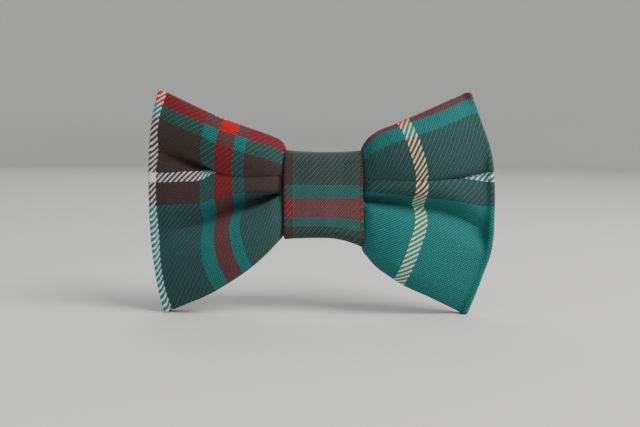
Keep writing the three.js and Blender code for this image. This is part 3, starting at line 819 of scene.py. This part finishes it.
def make_band(material, lining):
    line, gone = band_line(170)
    widths = np.linspace(1.0, -1.0, 45)[None, :]
    y, z = line[:, :1], line[:, 1:]
    low = np.clip(-z / BAND_TALL, 0, 1) ** 1.5
    high = np.clip(z / BAND_TALL, 0, 1) ** 2
    right = np.clip(widths, 0, 1)
    # The wing below it spreads the band's lower right corner; its upper edge dips in the middle
    x = widths * (BAND_HALF_WIDTH - BAND_THICK / 2) + 1.0 * MM * low * right**2
    z = z - low * (2.7 * right**2.2 + 0.5 * widths**2) * MM - high * 0.6 * (1 - widths**2) * MM
    front = np.clip(-y / BAND_FRONT, 0, 1) ** 2
    crown = 0.8 * (1 - (line[:, 1:] / BAND_TALL) ** 2) * (1 - 0.6 * widths**2)
    ripple = 0.16 * np.sin(5.1 * widths + 2.0 + 60 * z) + 0.10 * np.sin(11.0 * widths - 95 * z)
    y = y - front * (crown + ripple) * MM
    grid = np.stack([KNOT_X + x, KNOT_Y + y, KNOT_Z + BAND_RISE + z], -1)
    middle = np.argmin(np.abs(line[:, 1]) + (line[:, 0] > 0))
    along = (gone - gone[middle])[:, None]
    across = widths * BAND_HALF_WIDTH
    piece = pressed_tube("band_cloth", grid, along, across[0], BAND_THICK, material)
    # Its warp runs across the band, so its map is turned
    layer = piece.data.uv_layers["cloth"]
    values = np.zeros(len(piece.data.loops) * 2, dtype=np.float32)
    layer.data.foreach_get("uv", values)
    layer.data.foreach_set("uv", values.reshape(-1, 2)[:, ::-1].reshape(-1))
    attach(piece, "bow")
    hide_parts("centre_band")
    rows, sides = slice(1, -1), slice(2, -2)
    inner = pressed_tube("band_lining", grid[rows, sides], along[rows], across[0, sides],
                         LINING_THICK, lining)
    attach(inner, "bow")
    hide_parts("band_interlining")


# ------------------------------------------------------------------ threads


def finish_thread(piece, node):
    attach(piece, "bow")
    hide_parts(node)


def make_gather_thread(material):
    """Four turns round the pleats, under the band."""
    half_y, half_z = 5.15 * MM, 12.35 * MM
    turns, steps = 4, 40
    points = []
    for i in range(turns * steps + 1):
        angle = 2 * math.pi * i / steps
        c, s = math.cos(angle), math.sin(angle)
        power = 0.36
        y = half_y * math.copysign(abs(c) ** power, c)
        z = half_z * math.copysign(abs(s) ** power, s)
        x = (i / steps - turns / 2) * 0.8 * MM + 0.25 * MM * math.sin(2.3 * i / steps)
        points.append((KNOT_X + x, KNOT_Y + y, KNOT_Z + BAND_RISE + z))
    finish_thread(thread_tube("gather_thread_turns", points, 0.45 * MM, material, rounds=2), "gather_thread")


def make_end_stitch(material):
    """Overcasting along the tube's raw outer end, at the back, under the band."""
    node_low, node_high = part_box("loop_end_stitch")
    stitches = 14
    points = []
    for i in range(stitches + 1):
        z = mix(node_low.z, node_high.z, i / stitches)
        left = i % 2 == 0
        x = node_low.x if left else node_high.x
        y = mix(node_low.y, node_high.y, 0.5 + 0.5 * math.cos(2 * math.pi * i / 5))
        points += [(x, y - 0.25 * MM, z - 0.2 * MM), (x, y, z + 0.2 * MM)]
    finish_thread(thread_tube("end_overcasting", points, THREAD, material), "loop_end_stitch")


def make_band_stitch(material):
    """Slip stitches that hold the band's outer end down, each one slanting into the fold."""
    node_low, node_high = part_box("band_closing_stitch")
    y = node_high.y - THREAD / 2
    edge = KNOT_Z + BAND_RISE - 8.3 * MM
    stitches = 11
    points = []
    for i in range(stitches):
        x = mix(node_low.x + 0.6 * MM, node_high.x - 1.4 * MM, i / (stitches - 1))
        points += [
            (x, y - 0.9 * MM, edge + 0.55 * MM), (x + 0.15 * MM, y - 0.15 * MM, edge + 0.62 * MM),
            (x + 0.55 * MM, y, edge), (x + 0.95 * MM, y - 0.35 * MM, edge - 0.62 * MM),
            (x + 1.1 * MM, y - 1.3 * MM, edge - 0.5 * MM),
        ]
    finish_thread(thread_tube("band_slip_stitches", points, THREAD, material), "band_closing_stitch")


def make_clip_stitch(name, node, material):
    """Passes of thread over the clip's base, into the band above and below it."""
    node_low, node_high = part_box(node)
    centre_x = (node_low.x + node_high.x) / 2
    over = base_low.y + 0.7 * MM + THREAD / 2
    edge = (base_high.z - base_low.z) / 2 + THREAD / 2
    passes = 4
    points = []
    for i in range(passes):
        x = centre_x + (i - (passes - 1) / 2) * 0.72 * MM
        way = 1 if i % 2 == 0 else -1
        slant = 0.12 * MM * math.sin(2.1 * i + 0.4)
        for end, lean in ((-way, -slant), (way, slant)):
            out = edge + 0.75 * MM
            down = base_low.y - 0.75 * MM
            near = [
                (x + lean, down, KNOT_Z + end * out),
                (x + lean, base_low.y + 0.15 * MM, KNOT_Z + end * (edge + 0.1 * MM)),
                (x + lean, over + 0.05 * MM, KNOT_Z + end * (edge - 0.25 * MM)),
            ]
            points += near if end == -way else near[::-1]
    finish_thread(thread_tube(name, points, THREAD, material, rounds=2), node)


# ------------------------------------------------------------------ the collar clip


def soft_edged_copy(name, node, body, edge, material):
    """A copy of a sheet-metal node with its edges rounded as by tumbling."""
    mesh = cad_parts[node].data.copy()
    mesh.name = name
    piece = bpy.data.objects.new(name, mesh)
    bpy.context.collection.objects.link(piece)
    mesh.materials.clear()
    mesh.materials.append(material)
    only(piece)
    bpy.ops.object.mode_set(mode="EDIT")
    bpy.ops.mesh.select_all(action="SELECT")
    bpy.ops.mesh.remove_doubles(threshold=0.002 * MM)
    bpy.ops.mesh.dissolve_limited(angle_limit=math.radians(1.5))
    bpy.ops.object.mode_set(mode="OBJECT")
    bevel = piece.modifiers.new("edges", "BEVEL")
    bevel.width = edge
    bevel.segments = 3
    bevel.limit_method = "ANGLE"
    bevel.angle_limit = math.radians(30)
    bpy.ops.object.modifier_apply(modifier="edges")
    bpy.ops.object.mode_set(mode="EDIT")
    bpy.ops.mesh.select_all(action="SELECT")
    bpy.ops.mesh.quads_convert_to_tris()
    bpy.ops.object.mode_set(mode="OBJECT")
    bpy.ops.object.shade_smooth_by_angle(angle=math.radians(35))
    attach(piece, body)
    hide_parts(node)
    return piece


def pressed_rib(name, centre, size, tilt, body, material):
    """A low rounded rib pressed up out of the sheet metal."""
    deselect()
    bpy.ops.mesh.primitive_cube_add(size=1.0, location=centre)
    piece = bpy.context.active_object
    piece.name = name
    piece.data.name = name
    bpy.ops.object.mode_set(mode="EDIT")
    bpy.ops.transform.resize(value=size)
    bpy.ops.mesh.bevel(offset=0.42 * min(size), segments=4, affect="EDGES")
    bpy.ops.object.mode_set(mode="OBJECT")
    piece.rotation_euler = (0.0, 0.0, tilt)
    bpy.ops.object.transform_apply(location=True, rotation=True, scale=True)
    bpy.ops.object.shade_smooth()
    piece.data.materials.append(material)
    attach(piece, body)
    return piece


def select_cap(piece, z):
    """Select the faces of piece that lie flat at height z."""
    mesh = bmesh.from_edit_mesh(piece.data)
    for face in mesh.faces:
        face.select_set(all(abs(vertex.co.z - z) < 1e-6 for vertex in face.verts))
    bmesh.update_edit_mesh(piece.data)


def make_pin(material):
    """The hinge pin, with a domed head at each end."""
    centre = (pin_low + pin_high) / 2
    radius = 0.75 * MM
    half = (base_high.z - base_low.z) / 2 + 0.15 * MM
    head = (pin_high.x - pin_low.x) / 2
    dome = (pin_high.z - pin_low.z) / 2 - half
    deselect()
    bpy.ops.mesh.primitive_cylinder_add(vertices=48, radius=radius, depth=2 * half)
    piece = bpy.context.active_object
    piece.name = "hinge_pin"
    bpy.ops.object.mode_set(mode="EDIT")
    for end in (-1, 1):
        bpy.ops.mesh.select_all(action="DESELECT")
        select_cap(piece, end * half)
        bpy.ops.mesh.extrude_region_move()
        wider = (head / radius, head / radius, 1.0)
        bpy.ops.transform.resize(value=wider, center_override=(0, 0, end * half))
        for rise, width in ((0.35, 0.99), (0.35, 0.88), (0.2, 0.72), (0.1, 0.5)):
            bpy.ops.mesh.extrude_region_move(TRANSFORM_OT_translate={"value": (0, 0, end * dome * rise)})
            bpy.ops.transform.resize(value=(width, width, 1.0), center_override=(0, 0, end * half))
    bpy.ops.mesh.select_all(action="SELECT")
    bpy.ops.mesh.normals_make_consistent(inside=False)
    bpy.ops.object.mode_set(mode="OBJECT")
    piece.location = centre
    bpy.ops.object.transform_apply(location=True, rotation=True, scale=True)
    bpy.ops.object.shade_smooth_by_angle(angle=math.radians(40))
    piece.data.materials.append(material)
    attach(piece, "bow")
    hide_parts("clip_hinge_pin")


def make_spring(material):
    """A torsion spring round the pin. One leg lies on the base and the other lifts the press tab."""
    centre = (pin_low + pin_high) / 2
    wire = 0.55 * MM
    radius = 0.75 * MM + 0.3 * MM + wire / 2
    turns, steps = 3.45, 28
    half = turns * (wire + 0.12 * MM) / 2
    count = round(turns * steps)
    points = []
    low_y, high_y = spring_low.y + wire / 2, spring_high.y - wire / 2
    leg_x = spring_high.x - wire / 2
    points += [(leg_x, low_y, centre.z - half), (mix(centre.x, leg_x, 0.4), low_y, centre.z - half)]
    for i in range(count + 1):
        angle = -math.pi / 2 - 2 * math.pi * i / steps
        z = centre.z - half + 2 * half * i / count
        points.append((centre.x + radius * math.cos(angle), centre.y + radius * math.sin(angle), z))
    points += [(mix(centre.x, leg_x, 0.5), mix(centre.y + radius, high_y, 0.5), centre.z + half),
               (leg_x, high_y, centre.z + half)]
    piece = thread_tube("hinge_spring", points, wire, material, rounds=2, sides=12)
    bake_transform(piece)
    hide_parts("clip_spring")


def make_clip(nickel, spring):
    soft_edged_copy("clip_base_plate", "clip_base", "bow", 0.12 * MM, nickel)
    soft_edged_copy("clip_lever_plate", "clip_lever", "clip_lever", 0.12 * MM, nickel)
    # A long rib stiffens the lever's jaw, and three short ones give the thumb a grip on its tab
    jaw_start = Vector((lever_low.x + 2.6 * MM, lever_low.y + 2.62 * MM, KNOT_Z))
    jaw_end = Vector((lever_low.x + 12.6 * MM, lever_low.y + 3.73 * MM, KNOT_Z))
    run = jaw_end - jaw_start
    pressed_rib("lever_jaw_rib", (jaw_start + jaw_end) / 2, (run.length, 0.6 * MM, 1.5 * MM),
                math.atan2(run.y, run.x), "clip_lever", nickel)
    tab_start = Vector((lever_high.x - 11.5 * MM, lever_high.y - 3.7 * MM, KNOT_Z))
    tab_end = Vector((lever_high.x, lever_high.y, KNOT_Z))
    slope = math.atan2(tab_end.y - tab_start.y, tab_end.x - tab_start.x)
    for i, share in enumerate((0.62, 0.75, 0.88)):
        pressed_rib(f"lever_tab_rib_{i + 1}", tab_start.lerp(tab_end, share), (0.7 * MM, 0.55 * MM, 4.2 * MM),
                    slope, "clip_lever", nickel)
    make_pin(nickel)
    make_spring(spring)


# ------------------------------------------------------------------ everything together

add_camera()
add_lights()
add_floor(floor_material())

bow_twill = twill_material("bow_tartan", BOW_WARP, BOW_WARP_SPAN, BOW_WEFT, BOW_WEFT_SPAN)
band_twill = twill_material("band_tartan", BAND_WARP, BAND_WARP_SPAN, BAND_WEFT, BAND_WEFT_SPAN)
interlining = lining_material()
make_bow(bow_twill, interlining)
make_band(band_twill, interlining)

thread = thread_material()
make_gather_thread(thread)
make_end_stitch(thread)
make_band_stitch(thread)
make_clip_stitch("clip_sewing_left", "clip_stitch_left", thread)
make_clip_stitch("clip_sewing_right", "clip_stitch_right", thread)
make_clip(nickel_material(), spring_material())
